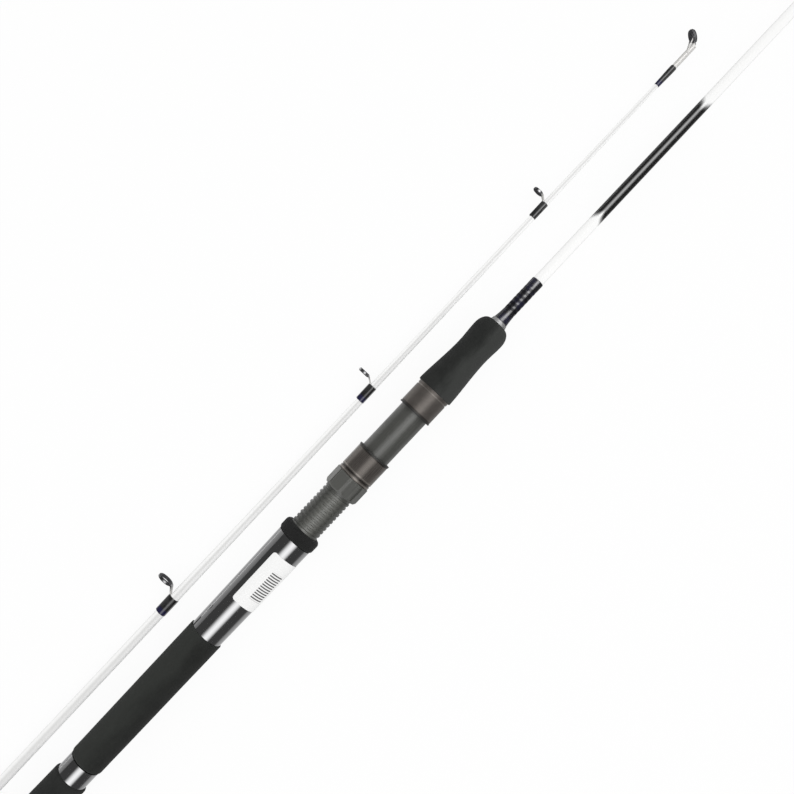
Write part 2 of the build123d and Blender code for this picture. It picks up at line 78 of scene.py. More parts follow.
class Look:
    """A material with one Principled shader, and short ways to add the patterns that feed it."""

    def __init__(self, name, colour, roughness, **sockets):
        self.material = bpy.data.materials.new(name)
        self.material.use_nodes = True
        self.tree = self.material.node_tree
        self.shader = self.tree.nodes["Principled BSDF"]
        self.shader.inputs["Base Color"].default_value = (*colour, 1)
        self.shader.inputs["Roughness"].default_value = roughness
        for socket, value in sockets.items():
            self.shader.inputs[socket.replace("_", " ")].default_value = value
        self.place = self.add("ShaderNodeTexCoord").outputs["Object"]
        self.normal = None

    def add(self, kind, **settings):
        node = self.tree.nodes.new(kind)
        for key, value in settings.items():
            setattr(node, key, value)
        return node

    def link(self, out, socket):
        self.tree.links.new(out, socket)

    def feed(self, socket, out):
        self.link(out, self.shader.inputs[socket])

    def math(self, operation, a, b=None):
        node = self.add("ShaderNodeMath", operation=operation)
        for value, socket in zip((a, b), node.inputs):
            if isinstance(value, (int, float)):
                socket.default_value = value
            elif value is not None:
                self.link(value, socket)
        return node.outputs[0]

    def noise(self, scale, stretch=(1, 1, 1), detail=3):
        """Noise with its scale in cells a metre. A stretch below 1 draws it out along that axis."""
        mapping = self.add("ShaderNodeMapping")
        mapping.inputs["Scale"].default_value = stretch
        self.link(self.place, mapping.inputs["Vector"])
        texture = self.add("ShaderNodeTexNoise")
        texture.inputs["Scale"].default_value = scale
        texture.inputs["Detail"].default_value = detail
        texture.inputs["Roughness"].default_value = NOISE_ROUGHNESS
        self.link(mapping.outputs[0], texture.inputs["Vector"])
        return texture.outputs["Fac"]

    def axis(self, letter):
        split = self.add("ShaderNodeSeparateXYZ")
        self.link(self.place, split.inputs[0])
        return split.outputs[letter]

    def distance(self, value, place):
        """How far a value is from a place, on either side of it."""
        return self.math("ABSOLUTE", self.math("SUBTRACT", value, place))

    def stripes(self, value, places, half):
        """1 on narrow stripes with soft edges at the given places, and 0 between them."""
        total = None
        for place in places:
            stripe = self.fade(self.distance(value, place), half * STRIPE_FULL, half * STRIPE_GONE)
            total = stripe if total is None else self.math("MAXIMUM", total, stripe)
        return total

    def ramp(self, value, low, high, out_low=0.0, out_high=1.0, smooth=False):
        """A value between two limits, turned into one between two others."""
        kind = "SMOOTHSTEP" if smooth else "LINEAR"
        node = self.add("ShaderNodeMapRange", interpolation_type=kind)
        limits = {"From Min": low, "From Max": high, "To Min": out_low, "To Max": out_high}
        for socket, number in limits.items():
            node.inputs[socket].default_value = number
        self.link(value, node.inputs["Value"])
        return node.outputs[0]

    def fade(self, value, low, high, smooth=False):
        """1 at the first limit, falling to 0 at the second."""
        return self.ramp(value, low, high, 1.0, 0.0, smooth)

    def spread(self, pattern, low, high):
        """A noise pattern stretched over the range from low to high."""
        return self.ramp(pattern, NOISE_LOW, NOISE_HIGH, low, high)

    def mix(self, factor, a, b):
        node = self.add("ShaderNodeMix", data_type="RGBA")
        self.link(factor, node.inputs[0])
        for value, socket in ((a, node.inputs[MIX_A]), (b, node.inputs[MIX_B])):
            if isinstance(value, tuple):
                socket.default_value = (*value, 1)
            else:
                self.link(value, socket)
        return node.outputs[MIX_OUT]

    def mottle(self, pattern, a, b):
        """Two colours that take turns with a noise pattern."""
        return self.mix(self.spread(pattern, 0.0, 1.0), a, b)

    def colour(self, out):
        self.feed("Base Color", out)

    def rough(self, pattern, low, high):
        self.feed("Roughness", self.spread(pattern, low, high))

    def bump(self, height, strength, distance):
        """Relief laid over the relief that is there already."""
        node = self.add("ShaderNodeBump")
        node.inputs["Strength"].default_value = strength
        node.inputs["Distance"].default_value = distance
        self.link(height, node.inputs["Height"])
        if self.normal is not None:
            self.link(self.normal, node.inputs["Normal"])
        self.normal = node.outputs[0]
        self.feed("Normal", self.normal)


# Materials

def foam_look(name, dark, light, painted_light=None):
    """Closed-cell foam with pores and faint clouds. Painted light makes a grip paler along one side,
    with a streaky edge.
    """
    look = Look(name, dark, 0.85, Specular_IOR_Level=0.3, Sheen_Weight=0.03, Sheen_Roughness=0.5)
    pores = look.noise(2600, detail=4)
    cloud = look.noise(120, detail=4)
    skin = look.mottle(cloud, dark, light)
    if painted_light:
        # Painted light: a paler colour along one side of the grip, its edge broken into streaks
        pale, y_pale, y_dark = painted_light
        streaks = look.spread(look.noise(140, stretch=(0.3, 1, 1)), -3 * MM, 3 * MM)
        side = look.math("ADD", look.axis("Y"), streaks)
        skin = look.mix(look.fade(side, y_pale, y_dark, smooth=True), skin, pale)
    look.colour(skin)
    look.rough(pores, 0.78, 0.95)
    look.bump(cloud, 0.15, 0.6 * MM)
    look.bump(pores, 0.55, 0.25 * MM)
    return look.material


def chrome_look():
    look = Look("bright_metal", (0.55, 0.55, 0.555), 0.1, Metallic=1.0)
    drawn = look.noise(900, stretch=ALONG, detail=4)
    smear = look.noise(60)
    look.colour(look.mottle(smear, (0.53, 0.53, 0.535), (0.57, 0.57, 0.575)))
    look.rough(smear, 0.08, 0.13)
    look.bump(drawn, 0.03, 0.2 * MM)
    return look.material


def satin_look():
    look = Look("satin_metal", (0.50, 0.50, 0.50), 0.5, Metallic=0.7)
    turned = look.noise(1200, stretch=(4, 1, 1))
    look.colour(look.mottle(turned, (0.46, 0.46, 0.46), (0.54, 0.54, 0.54)))
    look.rough(turned, 0.44, 0.56)
    return look.material


def tip_top_look():
    """Pale satin tube and stem, with a dark hoop round the ring."""
    look = Look("tip_top_metal", (0.72, 0.72, 0.71), 0.45, Metallic=0.3)
    grain = look.noise(1500)
    pale = look.mottle(grain, (0.70, 0.69, 0.67), (0.78, 0.77, 0.75))
    x_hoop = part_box("tip_top_ring")[0].x
    hoop = look.ramp(look.axis("X"), x_hoop, x_hoop + 1.0 * MM)
    look.colour(look.mix(hoop, pale, (0.11, 0.11, 0.115)))
    look.rough(grain, 0.38, 0.5)
    return look.material


def graphite(name):
    """Moulded plastic with faint lengthwise lines, and its colour for more patterns to be laid over."""
    look = Look(name, (0.055, 0.056, 0.051), 0.36, Specular_IOR_Level=1.0)
    lines = look.noise(1400, stretch=(0.03, 1, 1), detail=4)
    cloud = look.noise(150, detail=4)
    skin = look.mottle(lines, (0.046, 0.047, 0.042), (0.066, 0.067, 0.060))
    look.rough(cloud, 0.32, 0.42)
    look.bump(lines, 0.25, 0.2 * MM)
    look.bump(look.noise(5000, detail=2), 0.12, 0.1 * MM)
    return look, skin


def barrel_look():
    """Graphite plastic with a painted highlight: the thread is paler along its top, as far as the nut.
    """
    look, skin = graphite("graphite_plastic")
    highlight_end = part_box("locking_nut")[0].x - 0.25 * MM
    highlight_fade = 2.5 * MM
    highlight_y, top_highlight_half, plain_half = -0.8 * MM, 2.5 * MM, 6.5 * MM
    # Painted highlight: a paler colour along the top of the thread
    behind_nut = look.fade(look.axis("X"), highlight_end - highlight_fade, highlight_end)
    off_top = look.distance(look.axis("Y"), highlight_y)
    top_highlight = look.math("MULTIPLY", behind_nut, look.fade(off_top, top_highlight_half, plain_half, smooth=True))
    look.colour(look.mix(top_highlight, skin, (0.105, 0.106, 0.096)))
    return look.material


def nut_look():
    """Graphite plastic with painted light that makes one side paler."""
    look, skin = graphite("nut_plastic")
    # Painted light: a paler colour on the +Y side of the nut
    painted_lit_side = look.ramp(look.axis("Y"), -1.0 * MM, 2.0 * MM)
    look.colour(look.mix(painted_lit_side, skin, (0.083, 0.084, 0.076)))
    return look.material


def hood_plastic_look():
    look = Look("hood_plastic", (0.020, 0.020, 0.019), 0.5)
    grain = look.noise(3000)
    look.colour(look.mottle(look.noise(200), (0.016, 0.016, 0.015), (0.028, 0.028, 0.026)))
    look.rough(grain, 0.42, 0.58)
    look.bump(grain, 0.2, 0.1 * MM)
    return look.material


def hood_metal_look():
    """Dark bronze metal with painted highlights at the groove edges, and with painted shade in a groove
    and under the lips at the mouths.

    The sliding hood's band, on the -X side, is smoother than the fixed one.
    """
    look = Look("hood_metal", (0.13, 0.117, 0.106), 0.4, Metallic=0.6)
    brushed = look.noise(1800, stretch=ALONG, detail=4)
    cloud = look.noise(140, detail=4)
    x = look.axis("X")
    rear, rear_mouth = (corner.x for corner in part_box("sliding_hood_band"))
    front_mouth, front = (corner.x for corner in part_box("fixed_hood_band"))
    # Painted highlights on the groove edges, and painted shade in a groove and under the lips at the
    # mouths
    painted_light = rear + 0.95 * MM, rear + 4.05 * MM, front - 2.35 * MM
    shaded = rear + 2.65 * MM, rear_mouth - 0.25 * MM, front_mouth + 0.45 * MM
    skin = look.mottle(cloud, (0.115, 0.103, 0.094), (0.145, 0.131, 0.119))
    edge_highlight_half, shaded_half = 0.4 * MM, 0.6 * MM
    skin = look.mix(look.stripes(x, painted_light, edge_highlight_half), skin, (0.24, 0.22, 0.20))
    skin = look.mix(look.stripes(x, shaded, shaded_half), skin, (0.050, 0.045, 0.041))
    look.colour(skin)
    smoother = look.ramp(x, -15 * MM, 15 * MM, 0.66, 1.0)
    look.feed("Roughness", look.math("MULTIPLY", look.spread(brushed, 0.34, 0.46), smoother))
    look.bump(brushed, 0.10, 0.2 * MM)
    return look.material


NAVY = 0.010, 0.010, 0.045
NAVY_CENTRE = 1.8 * MM
NAVY_HALF = 2.0 * MM


def thread_look(name, dark, light, gloss, bands=None, navy_at=None):
    """Winding under an uneven coat of varnish, with raised bands or a navy end where it has them."""
    look = Look(
        name, dark, 0.3, Specular_IOR_Level=0.3, Coat_Weight=1.0, Coat_Roughness=0.1, Coat_IOR=gloss
    )
    turns = look.add("ShaderNodeTexWave", wave_type="BANDS", bands_direction="X")
    turns.inputs["Scale"].default_value = 900
    turns.inputs["Distortion"].default_value = 0.6
    look.link(look.place, turns.inputs["Vector"])
    varnish = look.noise(500, stretch=(0.6, 1, 1))
    tint = look.ramp(look.noise(130, detail=2), 0.42, 0.62, smooth=True)
    thread = look.mix(tint, dark, light)
    if navy_at:
        navy_end = look.stripes(look.axis("X"), (navy_at,), NAVY_HALF)
        thread = look.mix(navy_end, thread, NAVY)
    look.colour(thread)
    look.rough(varnish, 0.24, 0.38)
    look.bump(varnish, 0.2, 0.2 * MM)
    look.bump(turns.outputs["Fac"], 0.12, 0.08 * MM)
    if bands:
        look.feed("Coat Weight", band_shine(look, *bands))
    return look.material


def band_shine(look, start, end, pitch):
    """Weight of the varnish: full beyond the bands, thin on each one and thicker in the hollows."""
    x = look.axis("X")
    half = pitch / 2
    wave = look.math("PINGPONG", look.math("SUBTRACT", x, start), half)
    shine = look.ramp(wave, 0.35 * half, 0.75 * half, 0.05, 0.7, smooth=True)
    more_in_front = look.ramp(x, start + 3 * pitch, start + 5 * pitch, 0.0, 0.25)
    shine = look.math("ADD", shine, more_in_front)
    shine = look.math("MAXIMUM", shine, look.fade(x, start, start + pitch))
    return look.math("MAXIMUM", shine, look.ramp(x, end - pitch, end))


def steel_look():
    """Dark steel round the rings, with painted light that makes the legs paler and less metallic."""
    look = Look("guide_steel", (0.42, 0.42, 0.43), 0.22)
    cloud = look.noise(700)
    steel = look.mottle(cloud, (0.37, 0.37, 0.38), (0.47, 0.47, 0.48))
    # Painted light: a paler, less metallic colour down the legs
    leg_pale, leg_dark = TIP_Y + 4.0 * MM, TIP_Y + 7.5 * MM
    up = look.ramp(look.axis("Y"), leg_pale, leg_dark, smooth=True)
    look.colour(look.mix(up, (0.66, 0.65, 0.63), steel))
    look.feed("Metallic", look.ramp(up, 0.0, 1.0, 0.3, 1.0))
    look.rough(cloud, 0.17, 0.30)
    look.bump(look.noise(3500, detail=2), 0.06, 0.06 * MM)
    return look.material


def ceramic_look():
    look = Look("guide_ceramic", (0.04, 0.04, 0.043), 0.35, Specular_IOR_Level=0.3)
    cloud = look.noise(900)
    look.colour(look.mottle(cloud, (0.030, 0.030, 0.033), (0.050, 0.050, 0.055)))
    look.rough(cloud, 0.30, 0.42)
    return look.material


# Painted light colour for the sides of the white blanks
PAINTED_LIGHT_SIDES = 0.96, 0.96, 0.955
TAPER_ENDS = -300 * MM, 300 * MM


def white_look(name, low, high, sheen, centre_y, reach, taper):
    """White paint over glass fibre with a faint lengthwise cloud, and painted light that makes the
    sides paler than the top.

    Reach is the distance from the axis at which the sides are palest. Taper divides it at the front.
    """
    look = Look(name, high, 0.22, Specular_IOR_Level=0.2, Sheen_Weight=sheen, Sheen_Roughness=0.3)
    cloud = look.noise(90, stretch=(0.08, 1, 1), detail=2)
    paint = look.mottle(cloud, low, high)
    # Painted light: a paler colour down the sides, away from the top
    side = look.distance(look.axis("Y"), centre_y)
    side = look.math("MULTIPLY", side, look.ramp(look.axis("X"), *TAPER_ENDS, 1.0, taper))
    paint = look.mix(look.ramp(side, 0.0, reach, smooth=True), paint, PAINTED_LIGHT_SIDES)
    look.rough(cloud, 0.20, 0.26)
    look.colour(paint)
    return look, paint


def tip_blank_look():
    low, high = (0.68, 0.68, 0.675), (0.71, 0.71, 0.705)
    look, _ = white_look(
        "tip_blank_paint", low, high, sheen=0.75, centre_y=TIP_Y, reach=2.6 * MM, taper=2.6
    )
    return look.material


BLACK_RISE = 189.0 * MM, 196.5 * MM
BLACK_FALL = 282.0 * MM, 290.0 * MM


def butt_blank_look():
    """White paint with the long black gloss band, which fades out in streaks.

    The band is a little shorter along the top than down the sides.
    """
    low, high = (0.87, 0.87, 0.865), (0.89, 0.89, 0.885)
    look, paint = white_look(
        "butt_blank_paint", low, high, sheen=0.0, centre_y=0.0, reach=3.0 * MM, taper=1.0
    )
    streak_half, side_reach, side_lag = 1.0 * MM, 3.2 * MM, 4.0 * MM
    lines = look.noise(420, stretch=(0.12, 1, 1))
    streaks = look.ramp(lines, 0.25, 0.75, -streak_half, streak_half)
    side = look.math("ABSOLUTE", look.axis("Y"))
    lag = look.math("ADD", streaks, look.ramp(side, 0.0, side_reach, 0.0, side_lag))
    x = look.axis("X")
    rise = look.ramp(look.math("ADD", x, lag), *BLACK_RISE, smooth=True)
    fall = look.fade(look.math("SUBTRACT", x, lag), *BLACK_FALL, smooth=True)
    band = look.math("MULTIPLY", rise, fall)
    look.colour(look.mix(band, paint, (0.14, 0.14, 0.14)))
    look.feed("Metallic", band)
    look.feed("Coat Weight", band)
    look.feed("Roughness", look.ramp(band, 0.0, 1.0, 0.22, 0.25))
    look.shader.inputs["Coat Roughness"].default_value = 0.15
    return look.material


def paper_look():
    """Blank white paper with one plain patch of even bars."""
    look = Look("label_paper", (0.86, 0.86, 0.85), 0.7)
    fibre = look.noise(1500, detail=4)
    paper = look.mottle(fibre, (0.84, 0.84, 0.835), (0.89, 0.89, 0.885))
    x, y = look.axis("X"), look.axis("Y")
    label_low, label_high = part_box("paper_label")
    patch_x = label_low.x + 7.25 * MM, label_high.x - 9.85 * MM
    patch_y = -11.2 * MM, -3.8 * MM
    edge = 0.2 * MM
    half_pitch, gap_end, bar_start = 0.9 * MM, 0.38 * MM, 0.52 * MM
    bars = look.ramp(look.math("PINGPONG", x, half_pitch), gap_end, bar_start)
    for value, (start, end) in ((x, patch_x), (y, patch_y)):
        bars = look.math("MULTIPLY", bars, look.ramp(value, start, start + edge))
        bars = look.math("MULTIPLY", bars, look.fade(value, end, end + edge))
    look.colour(look.mix(bars, paper, (0.10, 0.10, 0.10)))
    look.bump(fibre, 0.15, 0.1 * MM)
    return look.material


def arbor_look():
    look = Look("arbor_foam", (0.42, 0.36, 0.28), 0.9)
    cloud = look.noise(900, detail=4)
    look.colour(look.mottle(cloud, (0.36, 0.30, 0.23), (0.48, 0.42, 0.33)))
    look.bump(cloud, 0.4, 0.3 * MM)
    return look.material


GREY_BLACK = (0.012, 0.012, 0.012), (0.030, 0.030, 0.030)
BLUE_BLACK = (0.005, 0.005, 0.008), (0.011, 0.011, 0.030)
PLAIN_GLOSS, HIGH_GLOSS = 1.65, 2.1
LOOKS = {
    "blank_white": tip_blank_look(),
    "foam_grip": foam_look("foam_grip", (0.0140, 0.0150, 0.0141), (0.0195, 0.0208, 0.0195)),
    "cap_rubber": foam_look("cap_rubber", (0.009, 0.009, 0.009), (0.013, 0.013, 0.013)),
    "bright_metal": chrome_look(),
    "arbor_foam": arbor_look(),
    "label_paper": paper_look(),
    "graphite_plastic": barrel_look(),
    "hood_plastic": hood_plastic_look(),
    "hood_metal": hood_metal_look(),
    "varnished_thread": thread_look("varnished_thread", *GREY_BLACK, PLAIN_GLOSS),
    "guide_steel": steel_look(),
    "guide_ceramic": ceramic_look(),
}
SLOT_OF = {row["node"]: row["material_slot"] for row in frame["record"]["subparts"]}


def dress(obj, material):
    obj.data.materials.clear()
    obj.data.materials.append(material)


for node_name, node in nodes.items():
    dress(node, LOOKS[SLOT_OF[node_name]])
dress(nodes["butt_blank"], butt_blank_look())
dress(nodes["winding_check"], satin_look())
dress(nodes["locking_nut"], nut_look())
dress(nodes["tip_top_frame"], tip_top_look())


# Mesh tools

SHARP_EDGE = math.radians(40)
SIDE_FACING = 0.02
SHORTEST = 1e-9


def piece(name, points, faces, body, node):
    """Smooth mesh in the shared frame that stands for one CAD node and takes its finish."""
    mesh = bpy.data.meshes.new(name)
    mesh.from_pydata(points, [], faces)
    mesh.validate()
    mesh.polygons.foreach_set("use_smooth", [True] * len(mesh.polygons))
    mesh.set_sharp_from_angle(angle=SHARP_EDGE)
    obj = bpy.data.objects.new(name, mesh)
    bpy.context.scene.collection.objects.link(obj)
    dress(obj, LOOKS[SLOT_OF[node]])
    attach(obj, body)
    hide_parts(node)
    return obj


def tube_mesh(stations, around, outer, inner, axis=BUTT_AXIS):
    """Closed tube along X. Outer and inner each give a radius for a station and an angle."""
    points, faces = [], []
    angles = [2 * math.pi * k / around for k in range(around)]
    rows = [(x, outer) for x in stations] + [(x, inner) for x in reversed(stations)]
    for x, radius in rows:
        for angle in angles:
            r = radius(x, angle)
            points.append((x, axis[0] + r * math.cos(angle), axis[1] + r * math.sin(angle)))
    count = len(rows)
    for i in range(count):
        a, b = i * around, (i + 1) % count * around
        for k in range(around):
            m = (k + 1) % around
            faces.append((a + k, a + m, b + m, b + k))
    return points, faces


def steps(start, end, size):
    count = max(1, round((end - start) / size))
    return [start + (end - start) * i / count for i in range(count + 1)]


def node_profile(node, axis=BUTT_AXIS):
    """Outside and inside of a turned CAD node as places along X and radii, read from its mesh."""
    outside, inside = {}, {}
    for v in nodes[node].data.vertices:
        away = Vector((0, v.co.y - axis[0], v.co.z - axis[1]))
        facing = v.normal.dot(away.normalized())
        if abs(facing) > SIDE_FACING:
            skin = outside if facing > 0 else inside
            skin[round(v.co.x, 6)] = away.length
    return [(sorted(skin), [skin[x] for x in sorted(skin)]) for skin in (outside, inside)]


def clamp(share):
    return max(0.0, min(1.0, share))


def between(x, xs, values):
    """Value at x on a line through the given values, level beyond both ends."""
    for i in range(len(xs) - 1):
        if x <= xs[i + 1]:
            share = clamp((x - xs[i]) / max(xs[i + 1] - xs[i], SHORTEST))
            return values[i] + (values[i + 1] - values[i]) * share
    return values[-1]


# Foam grips: turned foam with a slightly uneven skin

FOAM_STEP, FOAM_LEAST_STEP = 0.6 * MM, 0.04 * MM
FOAM_AROUND = 112
SWELLS = (60, 0.06 * MM), (700, 0.025 * MM)


def foam_piece(node):
    (xs, radii), (bore_xs, bore_radii) = node_profile(node)
    stations = [xs[0]]
    for x in sorted(set(steps(xs[0], xs[-1], FOAM_STEP) + xs)):
        if x - stations[-1] > FOAM_LEAST_STEP:
            stations.append(x)
    stations[-1] = xs[-1]

    def outer(x, angle):
        r = between(x, xs, radii)
        point = Vector((x, r * math.cos(angle), r * math.sin(angle)))
        return r + sum(noise.noise(point * scale) * height for scale, height in SWELLS)

    def inner(x, angle):
        return between(x, bore_xs, bore_radii)

    mesh = tube_mesh(stations, FOAM_AROUND, outer, inner)
    obj = piece(node + "_foam", *mesh, "butt_section", node)
    return obj


# The upper grip and the foregrip are painted paler on one side than the other, as light would fall on
# them
UPPER_FOAM = (0.0098, 0.0108, 0.0097), (0.0140, 0.0152, 0.0138)
UPPER_LIT_SIDE = (0.0240, 0.0262, 0.0236), 7 * MM, -9 * MM
COLLAR_FOAM = (0.0090, 0.0092, 0.0090), (0.0130, 0.0132, 0.0130)
FORE_FOAM = (0.0130, 0.0140, 0.0131), (0.0185, 0.0198, 0.0185)
FORE_LIT_SIDE = (0.036, 0.038, 0.036), -5 * MM, 3 * MM
foam_piece("lower_grip")
dress(foam_piece("upper_grip"), foam_look("upper_foam", *UPPER_FOAM, UPPER_LIT_SIDE))
dress(foam_piece("seat_collar"), foam_look("collar_foam", *COLLAR_FOAM))
dress(foam_piece("foregrip"), foam_look("fore_foam_lit_side", *FORE_FOAM, FORE_LIT_SIDE))


# Reel seat barrel with its real thread

PITCH = 3.0 * MM
CREST, ROOT, SMOOTH, TAIL = 10.2 * MM, 9.55 * MM, 10.25 * MM, 9.4 * MM
CREST_HALF, FLANK = 0.20, 0.16
RUN_OUT = 1.5 * MM
BORE = 7.6 * MM
FLAT = -8.6 * MM
SHOULDER, SHOULDER_REST = 0.01 * MM, 0.4 * MM
THREAD_UNDER_HOOD, FLAT_BEFORE_HOOD = 4.0 * MM, 31 * MM
THREAD_STEP, SMOOTH_STEP = PITCH / 14, 4 * MM
BARREL_AROUND = 144
barrel_low, barrel_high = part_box("reel_seat_barrel")
x_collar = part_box("seat_collar")[1].x
x_thread_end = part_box("sliding_hood")[0].x + THREAD_UNDER_HOOD
x_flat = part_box("sliding_hood")[0].x - FLAT_BEFORE_HOOD


def thread_radius(x, angle):
    """Right-hand trapezoid thread: a crest, a flank, a root and a flank in each pitch."""
    turn = (x / PITCH - angle / (2 * math.pi)) % 1.0
    depth = clamp((abs(turn - 0.5) - CREST_HALF) / FLANK)
    depth = depth * depth * (3 - 2 * depth)
    fade = min(clamp((x - x_collar) / RUN_OUT), clamp((x_thread_end - x) / RUN_OUT))
    return CREST - (CREST - ROOT) * depth * fade


def barrel_radius(x, angle):
    if x < x_collar:
        r = TAIL
    elif x <= x_thread_end:
        r = thread_radius(x, angle)
    else:
        r = SMOOTH
    if x >= x_flat and r * math.sin(angle) < FLAT:
        return FLAT / math.sin(angle)
    return r


stations = [barrel_low.x, x_collar - SHOULDER] + steps(x_collar, x_thread_end, THREAD_STEP)
stations += [x_thread_end + SHOULDER]
stations += steps(x_thread_end + SHOULDER_REST, barrel_high.x, SMOOTH_STEP)
barrel_mesh = tube_mesh(stations, BARREL_AROUND, barrel_radius, lambda x, angle: BORE)
piece("threaded_barrel", *barrel_mesh, "butt_section", "reel_seat_barrel")


# Thread windings: fine turns that the varnish nearly levels, with rounded ends

TURN = 0.36 * MM
TURN_DEPTH = 0.012 * MM
WINDING_STEP = TURN / 5
WINDING_AROUND = 48
END_ROUND = 0.5 * MM
BAND_COUNT = 7
BAND_PITCH = 3.38 * MM
BAND_DEPTH = 0.08 * MM
BAND_START = 105.58 * MM
BAND_END = BAND_START + BAND_COUNT * BAND_PITCH


def end_fall(x, low, high, end_round):
    """Share of a winding's full height: it rounds off to nothing at both ends."""
    edge = min(1.0, min(x - low, high - x) / end_round)
    return math.sqrt(max(0.0, 1 - (1 - edge) ** 2))


def turn_depth(x, angle):
    """Depth of the hollow between two turns of thread."""
    return TURN_DEPTH * (1 - math.cos(2 * math.pi * (x / TURN) - angle)) / 2


def band_depth(x):
    """Depth of the hollows between the raised bands in the middle of the handle winding."""
    if not BAND_START < x < BAND_END:
        return 0.0
    return BAND_DEPTH * (1 - math.cos(2 * math.pi * (x - BAND_START) / BAND_PITCH)) / 2


def wound_piece(node, body, axis=BUTT_AXIS, hollow=lambda x: 0.0):
    (xs, radii), (bore_xs, bore_radii) = node_profile(node, axis)
    low, high = xs[0], xs[-1]

    def inner(x, angle):
        return between(x, bore_xs, bore_radii)

    def outer(x, angle):
        base = inner(x, angle)
        height = between(x, xs, radii) - base - hollow(x) - turn_depth(x, angle)
        return base + height * end_fall(x, low, high, END_ROUND)

    mesh = tube_mesh(steps(low, high, WINDING_STEP), WINDING_AROUND, outer, inner, axis)
    return piece(node + "_turns", *mesh, body, node)


def navy_ended(obj, node):
    """Grey-black winding with a navy end on the side of the butt."""
    navy_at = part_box(node)[0].x + NAVY_CENTRE
    dress(obj, thread_look(node + "_thread", *GREY_BLACK, PLAIN_GLOSS, navy_at=navy_at))


handle_winding = wound_piece("handle_wrap", "butt_section", hollow=band_depth)
handle_bands = BAND_START, BAND_END, BAND_PITCH
dress(handle_winding, thread_look("banded_thread", *BLUE_BLACK, HIGH_GLOSS, handle_bands))
for wrap in ("tip_top_wrap", "ferrule_wrap"):
    navy_ended(wound_piece(wrap, "tip_section", TIP_AXIS), wrap)


# Guide windings: drawn tight over the blank and the foot, with rounded ends

COVER_HALF = 1.24 * MM
COVER_THINS = 0.10 * MM
COVER_SOFTENS = [math.radians(degrees) for degrees in (-12, -6, 0, 6, 12)]
COVER_STEP = TURN / 4
COVER_AROUND = 60
COVER_END_ROUND = 0.6 * MM
COVER_BORE_GAP = 0.02 * MM
GUIDE_COUNT = 5
blank_xs, blank_radii = node_profile("tip_blank", TIP_AXIS)[0]


def cover_radius(angle, round_r, reach):
    """Radius of a winding drawn over a round blank and a flat foot that lies on its +Y side."""
    angle = abs((angle + math.pi) % (2 * math.pi) - math.pi)
    corner = math.atan2(COVER_HALF, reach)
    if angle <= corner:
        return reach / math.cos(angle)
    touch = corner + math.acos(round_r / math.hypot(reach, COVER_HALF))
    if angle <= touch:
        return round_r / math.cos(angle - touch)
    return round_r


def guide_winding(node):
    """Winding over a guide's foot, a little thinner towards the butt."""
    low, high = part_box(node)
    round_r = (high.z - low.z) / 2

    def inner(x, angle):
        return between(x, blank_xs, blank_radii) + COVER_BORE_GAP

    def outer(x, angle):
        reach = high.y - TIP_Y - COVER_THINS * (high.x - x) / (high.x - low.x)
        radii = [cover_radius(angle + step, round_r, reach) for step in COVER_SOFTENS]
        skin = sum(radii) / len(radii) - turn_depth(x, angle)
        base = inner(x, angle)
        return base + (skin - base) * end_fall(x, low.x, high.x, COVER_END_ROUND)

    mesh = tube_mesh(steps(low.x, high.x, COVER_STEP), COVER_AROUND, outer, inner, TIP_AXIS)
    return piece(node + "_turns", *mesh, "tip_section", node)


guide_winding("guide_1_wrap")
for number in range(2, GUIDE_COUNT + 1):
    wrap = f"guide_{number}_wrap"
    navy_ended(guide_winding(wrap), wrap)


# Floor and world, in metres

FLOOR_HALF = 6.0
FLOOR_GLOW_SHARE = 0.93
FLOOR_GREY = 0.86
WORLD_GREY = 0.85


def plain_plane(name, corners):
    mesh = bpy.data.meshes.new(name)
    mesh.from_pydata(corners, [], [(0, 1, 2, 3)])
    obj = bpy.data.objects.new(name, mesh)
    bpy.context.scene.collection.objects.link(obj)
    material = bpy.data.materials.new(name)
    material.use_nodes = True
    mesh.materials.append(material)
    return obj


def level_corners(x_low, x_high, y_low, y_high, z):
    return [(x_low, y_low, z), (x_high, y_low, z), (x_high, y_high, z), (x_low, y_high, z)]


def seen_rays(tree):
    """1 for camera, reflection and transmission rays, and 0 for the light that falls on the object."""
    path = tree.nodes.new("ShaderNodeLightPath")
    total = path.outputs["Is Camera Ray"]
    for ray in ("Is Glossy Ray", "Is Transmission Ray"):
        either = tree.nodes.new("ShaderNodeMath")
        either.operation = "MAXIMUM"
        tree.links.new(total, either.inputs[0])
        tree.links.new(path.outputs[ray], either.inputs[1])
        total = either.outputs[0]
    return total


def blend_shaders(tree, share, a, b, output):
    blend = tree.nodes.new("ShaderNodeMixShader")
    tree.links.new(share, blend.inputs[0])
    tree.links.new(a.outputs[0], blend.inputs[1])
    tree.links.new(b.outputs[0], blend.inputs[2])
    tree.links.new(blend.outputs[0], tree.nodes[output].inputs["Surface"])


def make_floor():
    """White floor that glows for the camera and in reflections, and keeps a faint shadow."""
    corners = level_corners(-FLOOR_HALF, FLOOR_HALF, -FLOOR_HALF, FLOOR_HALF, FLOOR_Z)
    tree = plain_plane("floor", corners).data.materials[0].node_tree
    paint = tree.nodes["Principled BSDF"]
    paint.inputs["Base Color"].default_value = (FLOOR_GREY, FLOOR_GREY, FLOOR_GREY, 1)
    paint.inputs["Roughness"].default_value = 0.9
    paint.inputs["Specular IOR Level"].default_value = 0.0
    glow = tree.nodes.new("ShaderNodeEmission")
    glow.inputs["Strength"].default_value = 1.0
    share = tree.nodes.new("ShaderNodeMath")
    share.operation = "MULTIPLY"
    share.inputs[1].default_value = FLOOR_GLOW_SHARE
    tree.links.new(seen_rays(tree), share.inputs[0])
    blend_shaders(tree, share.outputs[0], paint, glow, "Material Output")


